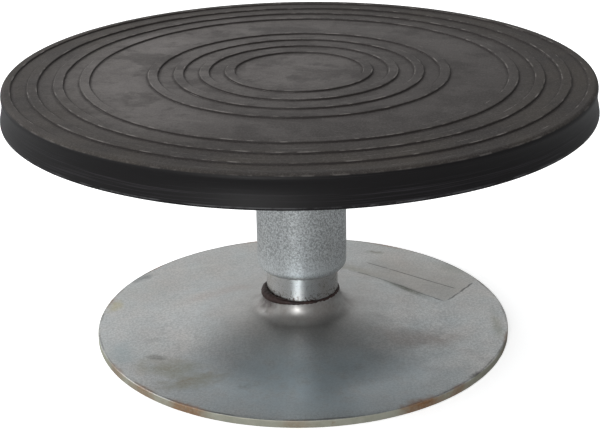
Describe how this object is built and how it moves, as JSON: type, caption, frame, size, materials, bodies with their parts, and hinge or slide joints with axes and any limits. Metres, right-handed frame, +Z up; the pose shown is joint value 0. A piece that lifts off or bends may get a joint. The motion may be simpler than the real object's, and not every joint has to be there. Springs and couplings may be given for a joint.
{
  "type": "sculpting turntable",
  "caption": "Round turntable for modelling and sculpting: a ridged rubber-covered top on a thick sleeve that spins freely on a steel post welded to a dished round base plate.",
  "frame": {"origin": "centre of the base plate on the surface it stands on", "axes": "+Z up along the spin axis; +X and +Y level; the front is -Y"},
  "size_m": [0.3018, 0.3018, 0.1445],
  "materials": {
    "rubber_cover": "moulded, chalky",
    "core_wood": "black-faced plywood",
    "zinc_flange": "zinc plated",
    "galvanised_sleeve": "rough zinc, speckled",
    "turned_steel": "turned bright",
    "zinc_plate": "satin zinc, stained",
    "weld_steel": "scaled and rusty",
    "screw_zinc": "zinc plated",
    "bearing_steel": "polished",
    "spring_steel": "blackened",
    "cage_brass": "machined",
    "seal_rubber": "matte",
    "nylon": "matte"
  },
  "bodies": {
    "base": {"spindle_post": "turned_steel", "bearing_spacer": "turned_steel", "axle_washer": "screw_zinc", "axle_nut": "screw_zinc", "nut_insert": "nylon", "base_plate": "zinc_plate", "base_weld": "weld_steel", "under_weld": "weld_steel", "lower_bearing_inner_ring": "bearing_steel", "upper_bearing_inner_ring": "bearing_steel"},
    "turntable": {"turntable_cover": "rubber_cover", "core_disc": "core_wood", "head_flange": "zinc_flange", "head_weld": "weld_steel", "flange_screws": "screw_zinc", "flange_washers": "screw_zinc", "bearing_sleeve": "galvanised_sleeve", "lower_retaining_ring": "spring_steel", "upper_retaining_ring": "spring_steel", "lower_bearing_outer_ring": "bearing_steel", "upper_bearing_outer_ring": "bearing_steel", "lower_bearing_seals": "seal_rubber", "upper_bearing_seals": "seal_rubber"},
    "lower_ball_set": {"lower_bearing_balls": "bearing_steel", "lower_bearing_cage": "cage_brass"},
    "upper_ball_set": {"upper_bearing_balls": "bearing_steel", "upper_bearing_cage": "cage_brass"}
  },
  "joints": [
    {"name": "table_spin", "type": "hinge", "parent": "base", "child": "turntable", "pos_m": [0, 0, 0.09], "axis": [0, 0, 1], "continuous": true},
    {"name": "lower_ball_roll", "type": "hinge", "parent": "base", "child": "lower_ball_set", "pos_m": [0, 0, 0.059], "axis": [0, 0, 1], "continuous": true},
    {"name": "upper_ball_roll", "type": "hinge", "parent": "base", "child": "upper_ball_set", "pos_m": [0, 0, 0.1055], "axis": [0, 0, 1], "continuous": true}
  ],
  "couplings": [
    {"joint": "lower_ball_roll", "follows": "table_spin", "ratio": 0.61763},
    {"joint": "upper_ball_roll", "follows": "table_spin", "ratio": 0.61763}
  ]
}
